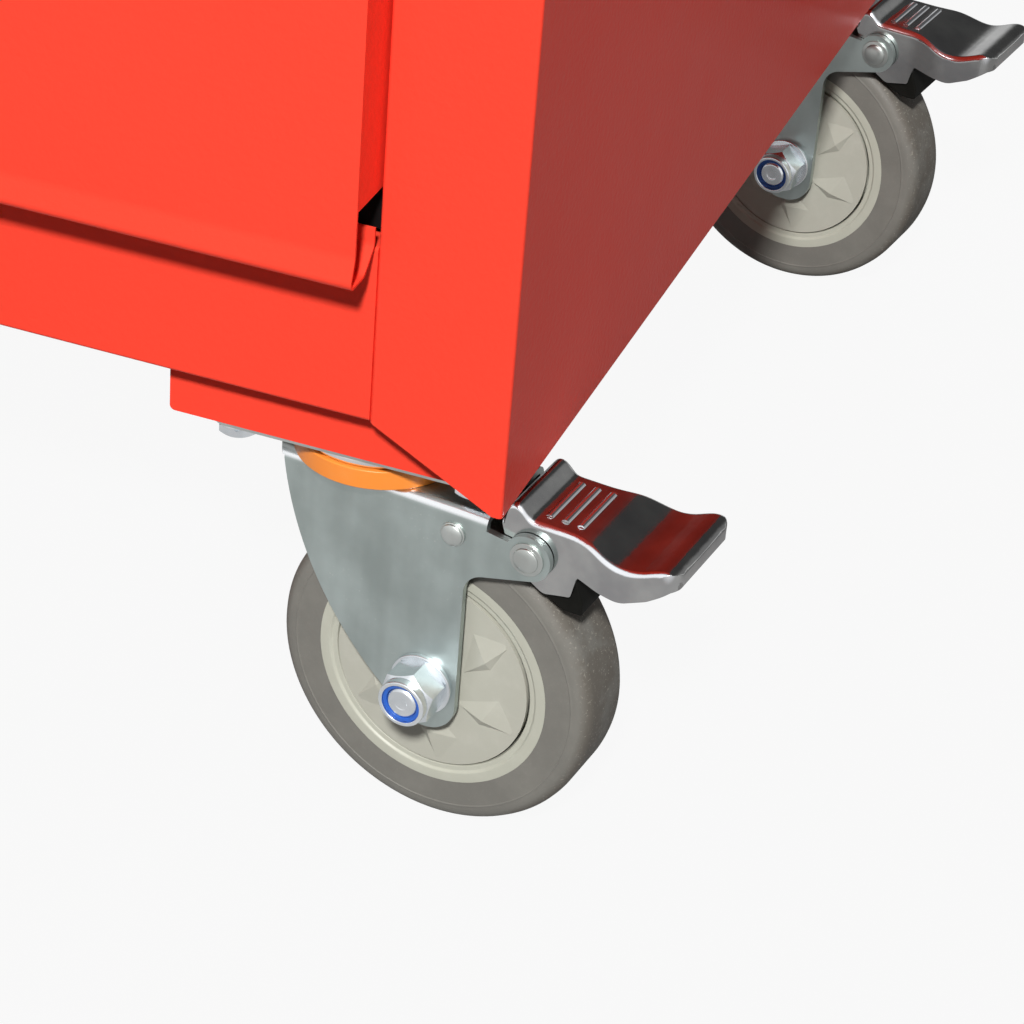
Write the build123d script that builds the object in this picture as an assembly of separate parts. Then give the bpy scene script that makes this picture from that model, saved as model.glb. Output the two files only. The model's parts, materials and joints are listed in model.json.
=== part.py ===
from build123d import *
import math
import os

os.makedirs("parts", exist_ok=True)

# A roller cabinet of folded sheet steel: a stack of drawers, each with a front whose lower edge is
# rolled into a full-width pull, on four casters. The right-hand casters swivel and have a foot brake.
# Millimetres. X runs to the right seen from the front, Y to the back, Z up from the floor.
# The origin is on the floor under the middle of the overall box.

# ---------------------------------------------------------------- body
body_width = 690.0
body_depth = 550.0
sheet = 1.2
fold_radius = 1.4
post_width = 49.0
post_return = 14.0
rear_flange = 22.0
skirt_drop = 1.8
corner_flat = 3.5
lid_flange = 26.0
lid_corner_radius = 2.5
header_height = 66.0

# ---------------------------------------------------------------- bottom rail and caster channels
rail_rise = 22.7
rail_height = 65.5
channel_sheet = 1.6
channel_fold = 2.0
channel_width = 126.0
channel_setback = 11.0
channel_rear_setback = 11.0

# ---------------------------------------------------------------- drawers
drawer_pitches = (210.0, 150.0, 110.0, 110.0, 85.0)
drawer_sheet = 1.0
front_proud = 18.0
front_side_gap = 0.8
finger_gap = 14.0
front_lap = 6.7
header_gap = 2.0
front_flange_depth = 25.0
lip_flare = 3.6
lip_flare_height = 11.0
lip_gap = 0.9
lip_height = 14.7
lip_rise = 7.9
lip_ramp = 8.2
return_lift = 27.5
tray_lift = 10.0
tray_headroom = 32.0
tray_length = 470.0

# ---------------------------------------------------------------- drawer slides
slide_length = 450.0
slide_thickness = 12.7
slide_height = 35.0
slide_sheet = 1.4
slide_lip = 9.0
slide_gap = 0.4
slide_lift = 16.0
slide_start = 10.0
runner_lip = 9.6
upright_depth = 40.0
upright_front = 30.0
upright_rear = 400.0

# ---------------------------------------------------------------- push handle and lock
handle_reach = 72.0
handle_radius = 13.0
handle_ring_radius = 18.0
handle_length = 430.0
handle_drop = 95.0
bracket_width = 26.0
bracket_foot = 58.0
bracket_foot_thickness = 4.0
bracket_arm = 22.0
lock_radius = 9.0
lock_barrel_radius = 11.0
lock_flange_radius = 14.0
lock_flange = 2.5
lock_barrel_length = 18.0
lock_from_side = 110.0
keyway_width = 2.2
keyway_height = 9.0
keyway_depth = 6.0
cam_length = 26.0
cam_width = 11.0
cam_sheet = 2.0

# ---------------------------------------------------------------- casters
caster_height = 154.0
wheel_radius = 62.5
tread_width = 30.0
tread_shoulder = 6.5
core_radius = 45.6
core_rim = 6.4
rim_ledge = 1.9
rim_ledge_drop = 0.8
rim_undercut = 0.6
core_web = 9.0
hub_radius = 15.0
hub_taper = 1.0
guard_radius = 38.2
guard_gap = 0.5
guard_sheet = 2.0
guard_recess = 0.3
guard_collar_radius = 10.5
guard_ridges = 6
ridge_phase = 28.5
ridge_root = 0.5
# radius, turn in degrees, width of the gentle side, width of the steep side, height
ridge_sections = ((14.0, -10.0, 3.0, 0.3, 0.3), (25.0, 0.0, 15.0, 4.5, 1.6), (36.0, 5.0, 6.0, 0.3, 0.2))
trail = 33.5
swivel_inset = 61.6
swivel_setback = 45.3
rear_swivel_setback = 44.7
front_caster_yaw = -7.0
rear_caster_yaw = -8.4

plate_length = 105.0
plate_depth = 63.0
plate_thickness = 3.0
plate_corner = 7.0
plate_hole_x = 88.0
plate_hole_y = 47.0
bolt_radius = 4.0
bolt_head_width = 13.0
bolt_head_height = 4.8
bolt_flange_radius = 7.8
bolt_flange = 1.4
bolt_end = 1.5
bolt_nut_height = 6.5
hole_clearance = 0.5

fork_sheet = 2.7
cheek_gap = 37.6
crown_drop = 14.5
crown_radius = 34.5
crown_bend = 4.4
crown_lead = 26.5
crown_end_gap = 16.0
cheek_front = 16.5
cheek_rear = 13.3
cheek_bulge = 8.2
cheek_foot = 18.7
shoulder_drop = 7.2
toe_front = 5.0
toe_front_radius = 9.0
toe_rear_radius = 12.0
throat_drop = 15.4
throat_radius = 9.0
ear_radius = 8.8
ear_root_rise = 5.4
ear_waist = 7.0
ear_waist_rise = 4.2
rigid_shoulder = 14.0
rigid_shoulder_inset = 4.0
rigid_cheek_half = 15.5
rigid_cheek_drop = 4.0
rigid_foot_half = 11.5
rigid_foot_drop = 16.5
rigid_shoulder_radius = 20.0
rigid_cheek_radius = 30.0
rigid_foot_radius = 8.0
race_radius = 29.0
race_width = 7.0
race_drop = 3.8
seal_radius = 30.6
seal_width = 6.0
seal_gap = 0.3
kingpin_radius = 6.0
kingpin_head_radius = 10.0
kingpin_head = 3.4
running_clearance = 0.06

axle_radius = 6.0
sleeve_radius = 7.6
washer_radius = 12.0
washer_thickness = 2.2
axle_nut_width = 19.0
axle_nut_height = 10.6
axle_nut_collar = 3.6
nut_collar_radius = 9.1
nut_collar_chamfer = 1.0
nut_recess_radius = 7.4
nut_recess = 1.4
axle_end_inset = 0.6
axle_end_chamfer = 0.9
axle_head_height = 6.4

brake_travel = 14.0
pivot_x = 70.0
pivot_drop = 25.4
pivot_radius = 4.0
rivet_head_radius = 6.2
rivet_head_height = 2.6
cross_rivet_x = 41.4
cross_rivet_radius = 3.0
pedal_sheet = 1.6
pedal_side_gap = 0.4
pedal_length = 56.0
pedal_tip_half_width = 23.0
pedal_top_drop = 12.0
pedal_bend = 2.6
pedal_flute_count = 3
pedal_flute_pitch = 6.0
pedal_flute_start = 3.0
pedal_flute_radius = 1.8
pedal_flute_depth = 0.9
pedal_flute_inset = 6.0
pedal_depth = 42.0
pedal_neck = 12.8
pedal_flare_length = 20.0
pedal_tip_radius = 7.0
shoe_clearance = 0.3
shoe_length = 20.5
shoe_root_gap = 1.2
shoe_slope = 3.0
shoe_slope_drop = 9.0

# The pedal's crest: distance behind the pivot and height over the flat of its top.
pedal_crest = ((-13.0, -2.4), (-10.0, 2.6), (-7.4, 4.6), (-4.6, 3.2), (-1.6, 0.6), (2.5, 0.0),
               (10.0, 0.0), (17.0, 0.0), (23.0, -0.7), (28.0, -2.2), (33.0, -3.5), (38.0, -3.7),
               (43.0, -2.4), (47.5, -0.5), (51.5, 0.4), (54.5, -0.4), (57.0, -2.2))
# The lower edge of its flanges: distance behind the pivot, height over the pivot, and bend radius.
pedal_hem = ((45.7, 0.6, 12.0), (36.0, -3.8, 10.0), (18.0, -2.2, 1.6), (16.0, -11.4, 1.6),
             (5.6, -13.8, 4.0), (-7.0, -6.0, 5.0), (-9.5, 2.0, 0.0))
pedal_heel = -12.5
pedal_lip_drop = 6.5
pedal_lip_slant = 2.5
pedal_lip_fold = 0.7

# ---------------------------------------------------------------- places worked out from the sizes
front_reach = front_proud + lip_flare
rail_flange = channel_setback
right_x = (body_width - handle_reach + sheet) / 2
left_x = right_x - body_width
front_y = -(body_depth + sheet - front_reach) / 2
back_y = front_y + body_depth
middle_x = (left_x + right_x) / 2

skirt_z = caster_height - skirt_drop
rail_bottom = caster_height + rail_rise
rail_top = rail_bottom + rail_height
floor_bottom = rail_bottom + sheet
floor_top = floor_bottom + sheet
first_front_z = rail_top - front_lap
stack_top = first_front_z + sum(drawer_pitches) - finger_gap
header_bottom = stack_top + header_gap
panel_top = header_bottom + header_height
overall_height = panel_top + sheet

opening_width = body_width - 2 * post_width
front_width = opening_width - 2 * front_side_gap
tray_width = opening_width - 2 * slide_thickness
tray_front_y = front_y - front_proud + front_flange_depth
slide_front_y = tray_front_y + drawer_sheet + slide_start

axle_z = wheel_radius
cheek_half = cheek_gap / 2
fork_half = cheek_half + fork_sheet
crown_z = caster_height - crown_drop
crown_end_x = pivot_x - crown_end_gap
plate_bottom = caster_height - plate_thickness
pivot_z = caster_height - pivot_drop
pedal_top_z = caster_height - pedal_top_drop
pedal_tip_x = pivot_x + pedal_length
pedal_bottom_z = pedal_top_z - pedal_depth
pedal_half = cheek_half - pedal_side_gap
front_caster_y = front_y + swivel_setback
rear_caster_y = back_y - rear_swivel_setback
right_caster_x = right_x - swivel_inset
left_caster_x = left_x + swivel_inset


def save(node, *solids):
    """Write one node: a single piece, or a group of separate pieces."""
    shape = solids[0] if len(solids) == 1 else Compound(children=list(solids))
    export_step(shape, f"parts/{node}.step")


def block(x0, x1, y0, y1, z0, z1):
    """A box between two corners."""
    centre = Pos((x0 + x1) / 2, (y0 + y1) / 2, (z0 + z1) / 2)
    return centre * Box(x1 - x0, y1 - y0, z1 - z0)


def side_face(corners):
    """A flat outline in the XZ plane. A corner is its X and Z, and the radius that rounds it, if any."""
    face = make_face(Polyline(*[(x, 0, z) for x, z, *_ in corners], close=True))
    for x, z, *bend in corners:
        if bend and bend[0]:
            face = fillet(face.vertices().sort_by_distance((x, 0, z))[0], bend[0])
    return face


def across(face, half_width):
    """Thicken an outline of the XZ plane to both sides."""
    return extrude(face, amount=half_width, dir=(0, 1, 0), both=True)


def cylinder_y(x, z, radius, y0, y1):
    """A round bar along Y."""
    disc = Plane(origin=(x, y0, z), z_dir=(0, 1, 0)) * Circle(radius)
    return extrude(disc, amount=y1 - y0, dir=(0, 1, 0))


def hexagon_y(x, z, width, y0, y1):
    """A hexagonal bar along Y, measured across its flats."""
    outline = Plane(origin=(x, y0, z), z_dir=(0, 1, 0)) * RegularPolygon(width / 2, 6, major_radius=False)
    return extrude(outline, amount=y1 - y0, dir=(0, 1, 0))


# ---------------------------------------------------------------- body panels
def side_panel():
    """Right side: one sheet folded at the front into the corner post and at the back into a flange."""
    outer = block(right_x - post_width, right_x, front_y, back_y, skirt_z, panel_top)
    inner = block(right_x - post_width + sheet, right_x - sheet, front_y + sheet, back_y - sheet,
                  skirt_z - 1, panel_top + 1)
    outer = fillet(outer.edges().filter_by(Axis.Z), fold_radius)
    inner = fillet(inner.edges().filter_by(Axis.Z), fold_radius - sheet)
    panel = outer - inner
    mouth = block(right_x - post_width - 1, right_x - rear_flange, front_y + post_return, back_y + 1,
                  skirt_z - 1, panel_top + 1)
    panel = panel - mouth
    # The post's foot is cut away in a slant from the rail down to the corner.
    slant = side_face([(right_x - post_width - 1, skirt_z - 1),
                       (right_x - post_width - 1, rail_bottom),
                       (right_x - post_width, rail_bottom),
                       (right_x - corner_flat, skirt_z),
                       (right_x - corner_flat, skirt_z - 1)])
    foot = extrude(Pos(0, front_y - 1, 0) * slant, amount=post_return + 2, dir=(0, 1, 0))
    # The post's inner edge, folded back, stands on the floor panel.
    heel = block(right_x - post_width - 1, right_x - post_width + sheet, front_y + sheet,
                 front_y + post_return + 1, skirt_z - 1, floor_top)
    return panel - foot - heel


def mirrored(piece):
    """The same piece on the other side of the body."""
    return mirror(piece, about=Plane(origin=(middle_x, 0, 0), z_dir=(1, 0, 0)))


def back_panel():
    """Flat sheet between the rear flanges, lying against their inner faces."""
    return block(left_x + sheet, right_x - sheet, back_y - 2 * sheet, back_y - sheet,
                 floor_top, panel_top)


def floor_panel():
    """Flat floor on the rail's flange and the caster channels."""
    return block(left_x + sheet, right_x - sheet, front_y + sheet, back_y - sheet,
                 floor_bottom, floor_top)


def lid():
    """Top pan whose edges are turned down over the sides."""
    outer = block(left_x - sheet, right_x + sheet, front_y - sheet, back_y + sheet,
                  panel_top - lid_flange, overall_height)
    outer = fillet(outer.edges().filter_by(Axis.Z), lid_corner_radius)
    outer = fillet(outer.faces().sort_by(Axis.Z)[-1].edges(), sheet)
    inner = block(left_x, right_x, front_y, back_y, panel_top - lid_flange - 1, panel_top)
    return outer - inner


def folded_rail(z0, z1):
    """A cross rail with its face flush with the posts and both edges folded back."""
    outer = block(left_x + post_width, right_x - post_width, front_y, front_y + rail_flange, z0, z1)
    inner = block(left_x + post_width - 1, right_x - post_width + 1, front_y + sheet,
                  front_y + rail_flange + 1, z0 + sheet, z1 - sheet)
    outer = fillet(outer.edges().filter_by(Axis.X).sort_by(Axis.Y)[:2], fold_radius)
    inner = fillet(inner.edges().filter_by(Axis.X).sort_by(Axis.Y)[:2], fold_radius - sheet)
    return outer - inner


def header_rail():
    """Top rail, with the hole of the lock."""
    rail = folded_rail(header_bottom, panel_top)
    return rail - cylinder_y(lock_x, lock_z, lock_barrel_radius + hole_clearance,
                             front_y - 1, front_y + rail_flange)


def caster_channel():
    """Right channel under the floor, closed at both ends, that carries two casters."""
    x1 = right_x - sheet
    x0 = x1 - channel_width
    y0 = front_y + channel_setback
    y1 = back_y - channel_rear_setback
    outer = block(x0, x1, y0, y1, caster_height, floor_bottom)
    inner = block(x0 + channel_sheet, x1 - channel_sheet, y0 + channel_sheet, y1 - channel_sheet,
                  caster_height + channel_sheet, floor_bottom + 1)
    outer = fillet(outer.faces().sort_by(Axis.Z)[0].edges().filter_by(Axis.Y), channel_fold)
    inner = fillet(inner.faces().sort_by(Axis.Z)[0].edges().filter_by(Axis.Y), channel_fold - channel_sheet)
    channel = outer - inner
    for y in (front_caster_y, rear_caster_y):
        for hole in plate_holes():
            channel = channel - Pos(right_caster_x, y, caster_height) * hole
    return channel


# ---------------------------------------------------------------- drawers
def drawer_base(number):
    """Height of the lowest point of a drawer's front, counted from the bottom drawer."""
    return first_front_z + sum(drawer_pitches[:number])


def drawer_front(number):
    """Front skin: top flange, flat face, and a lower edge that flares out and rolls up behind."""
    face_y = front_y - front_proud
    base = drawer_base(number)
    top = base + drawer_pitches[number] - finger_gap
    back = front_y - lip_gap
    x0 = middle_x - front_width / 2
    corners = [(face_y + front_flange_depth, top), (face_y, top), (face_y, base + lip_flare_height),
               (face_y - lip_flare, base), (back - lip_ramp, base), (back, base + lip_rise),
               (back, base + lip_height)]
    radii = [2.2, 9.0, 2.8, 4.0, 4.0]
    with BuildSketch(Plane(origin=(x0, 0, 0), x_dir=(0, 1, 0), z_dir=(1, 0, 0))) as section:
        with BuildLine():
            FilletPolyline(*corners, radius=radii)
            offset(amount=drawer_sheet, side=Side.LEFT)
        make_face()
    skin = extrude(section.sketch, amount=front_width, dir=(1, 0, 0))
    for end in (x0, x0 + front_width - drawer_sheet):
        skin = skin + block(end, end + drawer_sheet, face_y + drawer_sheet / 2,
                            face_y + front_flange_depth, base + return_lift, top - drawer_sheet / 2)
    return skin


def drawer_tray(number):
    """Open tray, with a front wall wide enough to close the back of the front skin."""
    z0 = drawer_base(number) + tray_lift
    z1 = z0 + drawer_pitches[number] - tray_headroom
    x0 = middle_x - tray_width / 2
    x1 = middle_x + tray_width / 2
    y0 = tray_front_y
    y1 = y0 + tray_length
    wing = (front_width - tray_width) / 2 - drawer_sheet
    tray = block(x0, x1, y0, y1, z0, z1)
    tray = tray - block(x0 + drawer_sheet, x1 - drawer_sheet, y0 + drawer_sheet, y1 - drawer_sheet,
                        z0 + drawer_sheet, z1 + 1)
    front_top = drawer_base(number) + drawer_pitches[number] - finger_gap
    return tray + block(x0 - wing, x1 + wing, y0, y0 + drawer_sheet, z0, front_top)


def slide_rail(number):
    """Right fixed member of a drawer slide: a C open towards the drawer."""
    x1 = right_x - post_width
    z0 = drawer_base(number) + slide_lift
    y0 = slide_front_y
    outer = block(x1 - slide_lip, x1, y0, y0 + slide_length, z0, z0 + slide_height)
    inner = block(x1 - slide_lip - 1, x1 - slide_sheet, y0 - 1, y0 + slide_length + 1,
                  z0 + slide_sheet, z0 + slide_height - slide_sheet)
    return outer - inner


def slide_runner(number):
    """Right moving member: a C that faces the rail and runs between its lips."""
    x0 = middle_x + tray_width / 2
    inset = slide_sheet + slide_gap
    z0 = drawer_base(number) + slide_lift + inset
    z1 = z0 + slide_height - 2 * inset
    y0 = tray_front_y + drawer_sheet
    y1 = y0 + slide_length
    outer = block(x0, x0 + runner_lip, y0, y1, z0, z1)
    inner = block(x0 + slide_sheet, x0 + runner_lip + 1, y0 - 1, y1 + 1, z0 + slide_sheet, z1 - slide_sheet)
    return outer - inner


def slide_upright(y0):
    """Right upright of folded sheet between floor and header that the fixed rails are screwed to."""
    outer = block(right_x - post_width, right_x - sheet, y0, y0 + upright_depth,
                  floor_top, panel_top - sheet)
    inner = block(right_x - post_width + sheet, right_x, y0 + sheet, y0 + upright_depth - sheet,
                  floor_top - 1, panel_top)
    return outer - inner


# ---------------------------------------------------------------- handle and lock
handle_z = overall_height - handle_drop
handle_x = right_x + handle_reach - handle_ring_radius
handle_y0 = (front_y + back_y - handle_length) / 2
lock_x = right_x - lock_from_side
lock_z = (stack_top + panel_top - lid_flange) / 2


def handle_tube():
    """Round tube between the two brackets, closed by them."""
    return cylinder_y(handle_x, handle_z, handle_radius,
                      handle_y0 + bracket_foot_thickness,
                      handle_y0 + handle_length - bracket_foot_thickness)


def handle_bracket(y0, cup_y0, cup_y1):
    """Arm from a foot on the side panel to a cup that takes the end of the tube."""
    foot = block(right_x, right_x + bracket_foot_thickness, y0, y0 + bracket_width,
                 handle_z - bracket_foot / 2, handle_z + bracket_foot / 2)
    foot = fillet(foot.edges().filter_by(Axis.X), bracket_foot_thickness)
    arm = side_face([(right_x, handle_z - bracket_arm), (handle_x, handle_z - handle_ring_radius),
                     (handle_x, handle_z + handle_ring_radius), (right_x, handle_z + bracket_arm)])
    arm = extrude(Pos(0, y0, 0) * arm, amount=bracket_width, dir=(0, 1, 0))
    ring = cylinder_y(handle_x, handle_z, handle_ring_radius, y0, y0 + bracket_width)
    cup = cylinder_y(handle_x, handle_z, handle_radius, cup_y0, cup_y1)
    return foot + arm + ring - cup


def handle_brackets():
    """Front and rear bracket, each open towards the other."""
    wall = bracket_foot_thickness
    y0 = handle_y0
    y1 = handle_y0 + handle_length - bracket_width
    front = handle_bracket(y0, y0 + wall, y0 + bracket_width + 1)
    rear = handle_bracket(y1, y1 - 1, y1 + bracket_width - wall)
    return front, rear


def lock_bezel():
    """Collar of the lock, with a flange on the face of the header rail."""
    flange = cylinder_y(lock_x, lock_z, lock_flange_radius, front_y - lock_flange, front_y)
    flange = chamfer(flange.edges().filter_by(GeomType.CIRCLE).sort_by(Axis.Y)[0], lock_flange / 2)
    barrel = cylinder_y(lock_x, lock_z, lock_barrel_radius, front_y, front_y + lock_barrel_length)
    bore = cylinder_y(lock_x, lock_z, lock_radius + running_clearance,
                      front_y - lock_flange - 1, front_y + lock_barrel_length + 1)
    return flange + barrel - bore


def lock_cylinder():
    """Turning plug with a keyway, and the cam on its inner end."""
    end = front_y + lock_barrel_length + cam_sheet
    plug = cylinder_y(lock_x, lock_z, lock_radius, front_y - lock_flange, end)
    keyway = block(lock_x - keyway_width / 2, lock_x + keyway_width / 2,
                   front_y - lock_flange - 1, front_y - lock_flange + keyway_depth,
                   lock_z - keyway_height / 2, lock_z + keyway_height / 2)
    cam = block(lock_x - cam_width / 2, lock_x + cam_width / 2, end, end + cam_sheet,
                lock_z - cam_length + cam_width / 2, lock_z + cam_width / 2)
    cam = fillet(cam.edges().filter_by(Axis.Y), cam_width / 2 - 0.5)
    return plug - keyway, cam


# ---------------------------------------------------------------- caster pieces
# Each is made about its own swivel axis: the wheel trails towards +X and the floor is at Z = 0.
def plate_holes():
    """Cutters for the four bolt holes, centred on the swivel axis."""
    hole = Cylinder(bolt_radius + hole_clearance, 6 * plate_thickness)
    return [Pos(x, y, 0) * hole for x in (-plate_hole_x / 2, plate_hole_x / 2)
            for y in (-plate_hole_y / 2, plate_hole_y / 2)]


def mounting_plate():
    """Flat zinc-plated plate with four bolt holes."""
    plate = block(-plate_length / 2, plate_length / 2, -plate_depth / 2, plate_depth / 2,
                  plate_bottom, caster_height)
    plate = fillet(plate.edges().filter_by(Axis.Z), plate_corner)
    for hole in plate_holes():
        plate = plate - Pos(0, 0, caster_height) * hole
    return plate


def swivel_plate():
    """Mounting plate with its pressed ball race and the kingpin that the fork hangs on."""
    race = Pos(0, 0, plate_bottom - race_drop / 2) * Cylinder(race_radius, race_drop)
    race = chamfer(race.edges().filter_by(GeomType.CIRCLE).sort_by(Axis.Z)[0], race_drop / 2)
    well = Pos(0, 0, plate_bottom - race_drop / 2) * Cylinder(race_radius - race_width, race_drop)
    head_top = crown_z - fork_sheet - running_clearance
    pin = Pos(0, 0, (head_top + plate_bottom) / 2) * Cylinder(kingpin_radius, plate_bottom - head_top)
    head = Pos(0, 0, head_top - kingpin_head / 2) * Cylinder(kingpin_head_radius, kingpin_head)
    head = chamfer(head.edges().filter_by(GeomType.CIRCLE).sort_by(Axis.Z)[0], kingpin_head / 2)
    return mounting_plate() + (race - well) + pin + head


def seal_ring():
    """Orange dust seal between the fork's crown and the plate's race."""
    z0 = crown_z
    z1 = plate_bottom - race_drop - seal_gap
    ring = Cylinder(seal_radius, z1 - z0) - Cylinder(seal_radius - seal_width, z1 - z0)
    ring = Pos(0, 0, (z0 + z1) / 2) * ring
    outer = ring.edges().filter_by(GeomType.CIRCLE).sort_by(Axis.Z)
    return chamfer(outer[-1], 1.2)


def tangent_point(point, centre, radius):
    """Where a line from a point, rising to the right, touches the underside of a circle."""
    run = centre[0] - point[0]
    rise = centre[1] - point[1]
    reach = math.hypot(run, rise)
    slope = math.atan2(rise, run) - math.asin(radius / reach)
    length = math.sqrt(reach ** 2 - radius ** 2)
    return point[0] + length * math.cos(slope), point[1] + length * math.sin(slope)


def fork_outline():
    """Side view of the swivel fork: crown, curved leading edge, axle boss and round brake ear."""
    crown_under = crown_z - fork_sheet
    lead_top = (-crown_lead, crown_under)
    lead_foot = (trail - cheek_front, axle_z - shoulder_drop)
    toe_in = (trail - toe_front, axle_z - cheek_foot)
    toe_out = (trail + cheek_rear, axle_z - cheek_foot)
    throat = (trail + cheek_rear, pivot_z - throat_drop)
    path = [lead_foot, toe_in, toe_out, throat, tangent_point(throat, (pivot_x, pivot_z), ear_radius),
            (pivot_x, pivot_z), (pivot_x - ear_waist, pivot_z + ear_waist_rise),
            (crown_end_x, pivot_z + ear_root_rise), (crown_end_x, crown_z),
            (-crown_radius - 1, crown_z), (-crown_radius - 1, crown_under), lead_top]
    with BuildSketch() as outline:
        with BuildLine():
            Polyline(*path)
            SagittaArc(lead_top, lead_foot, -cheek_bulge)
        make_face()
        with Locations((pivot_x, pivot_z)):
            Circle(ear_radius)
        for corner, radius in ((toe_in, toe_front_radius), (toe_out, toe_rear_radius),
                               (throat, throat_radius)):
            fillet(outline.vertices().sort_by_distance((*corner, 0))[0], radius)
    return Plane.XZ * outline.sketch


def swivel_fork():
    """Pressed steel fork: two cheeks bent down from a round crown."""
    solid = extrude(fork_outline(), amount=fork_half, both=True)
    plan = Circle(crown_radius) + Pos(crown_radius * 2, 0) * Rectangle(crown_radius * 4, 2 * crown_radius)
    solid = solid & extrude(plan, amount=caster_height)
    top = solid.edges().filter_by(Axis.X).filter_by_position(Axis.Z, crown_z - 0.01, crown_z + 0.01)
    solid = fillet(top, crown_bend)
    gap = block(-2 * crown_radius, pivot_x * 2, -cheek_half, cheek_half, 0, crown_z - fork_sheet)
    gap = fillet(gap.edges().filter_by(Axis.X).sort_by(Axis.Z)[-2:], crown_bend - fork_sheet)
    solid = solid - gap - block(crown_end_x, pivot_x * 2, -cheek_half, cheek_half, 0, caster_height)
    solid = solid - Cylinder(kingpin_radius + running_clearance, 4 * caster_height)
    for x, z, radius in ((trail, axle_z, axle_radius), (pivot_x, pivot_z, pivot_radius),
                         (cross_rivet_x, pivot_z, cross_rivet_radius)):
        solid = solid - cylinder_y(x, z, radius + running_clearance, -caster_height, caster_height)
    return solid


def rigid_fork():
    """Fixed fork: a plate with two tapered cheeks bent straight down to the axle."""
    half = plate_depth / 2
    shoulder = half - rigid_shoulder_inset
    right_edge = [(half, plate_bottom), (shoulder, plate_bottom - rigid_shoulder, rigid_shoulder_radius),
                  (rigid_cheek_half, axle_z - rigid_cheek_drop, rigid_cheek_radius),
                  (rigid_foot_half, axle_z - rigid_foot_drop, rigid_foot_radius)]
    left_edge = [(-x, z, *bend) for x, z, *bend in reversed(right_edge)]
    solid = across(side_face(right_edge + left_edge), fork_half)
    gap = block(-plate_depth, plate_depth, -cheek_half, cheek_half, 0, plate_bottom)
    solid = solid - gap
    solid = solid - cylinder_y(0, axle_z, axle_radius + running_clearance, -caster_height, caster_height)
    return solid + mounting_plate()


def axle_set(x):
    """Bolt, two washers, spacer sleeve and lock nut; the nut is on the -Y side."""
    washer_face = fork_half + washer_thickness
    nut_end = washer_face + axle_nut_height
    collar_end = nut_end + axle_nut_collar
    bolt = cylinder_y(x, axle_z, axle_radius, axle_end_inset - collar_end, washer_face)
    bolt = chamfer(bolt.edges().filter_by(GeomType.CIRCLE).sort_by(Axis.Y)[0], axle_end_chamfer)
    bolt = bolt + hexagon_y(x, axle_z, axle_nut_width, washer_face, washer_face + axle_head_height)
    nut = hexagon_y(x, axle_z, axle_nut_width, -nut_end, -washer_face)
    collar = cylinder_y(x, axle_z, nut_collar_radius, -collar_end, -nut_end)
    collar = chamfer(collar.edges().filter_by(GeomType.CIRCLE).sort_by(Axis.Y)[0], nut_collar_chamfer)
    nut = nut + collar
    nut = nut - cylinder_y(x, axle_z, nut_recess_radius, -collar_end - 1, nut_recess - collar_end)
    nut = nut - cylinder_y(x, axle_z, axle_radius + running_clearance, -2 * nut_end, 0)
    sleeve = cylinder_y(x, axle_z, sleeve_radius, -cheek_half, cheek_half)
    sleeve = sleeve - cylinder_y(x, axle_z, axle_radius + running_clearance, -cheek_half, cheek_half)
    washers = []
    for y0 in (-washer_face, fork_half):
        washer = cylinder_y(x, axle_z, washer_radius, y0, y0 + washer_thickness)
        washers.append(washer - cylinder_y(x, axle_z, axle_radius + running_clearance, -nut_end, nut_end))
    return bolt, nut, sleeve, *washers


def brake_rivets():
    """Pivot rivet of the brake and the cross rivet in front of it, each with two round heads."""
    rivets = []
    for x, radius in ((pivot_x, pivot_radius), (cross_rivet_x, cross_rivet_radius)):
        rivet = cylinder_y(x, pivot_z, radius, -fork_half, fork_half)
        head_radius = rivet_head_radius * radius / pivot_radius
        for y0 in (-fork_half - rivet_head_height, fork_half):
            head = cylinder_y(x, pivot_z, head_radius, y0, y0 + rivet_head_height)
            tip = head.edges().filter_by(GeomType.CIRCLE).sort_by(Axis.Y)[0 if y0 < 0 else -1]
            rivet = rivet + fillet(tip, rivet_head_height * 0.8)
        rivets.append(rivet)
    return rivets


def pedal_half_width(reach):
    """Half width of the pedal: narrow between the ears, flaring smoothly to its full width behind them."""
    share = min(max((reach - pedal_neck) / pedal_flare_length, 0.0), 1.0)
    ease = share * share * (3 - 2 * share)
    return pedal_half + (pedal_tip_half_width - pedal_half) * ease


def pedal_form(inset):
    """The pedal's outer form, or its hollow: a round-shouldered channel that follows the crest."""
    bottom = pedal_bottom_z - inset
    sections = []
    for reach, rise in pedal_crest:
        half = pedal_half_width(reach) - inset
        top = pedal_top_z + rise - inset
        arch = FilletPolyline((-half, bottom), (-half, top), (half, top), (half, bottom),
                              radius=pedal_bend - inset)
        place = Plane(origin=(pivot_x + reach, 0, 0), x_dir=(0, 1, 0), z_dir=(1, 0, 0))
        sections.append(place * make_face(arch + Line((half, bottom), (-half, bottom))))
    tip = pedal_tip_x - inset
    width = pedal_tip_half_width - inset
    plan = make_face(Polyline((0, -width), (tip, -width), (tip, width), (0, width), close=True))
    for side in (-width, width):
        plan = fillet(plan.vertices().sort_by_distance((tip, side, 0))[0], pedal_tip_radius - inset)
    return loft(sections) & extrude(plan, amount=2 * caster_height)


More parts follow.
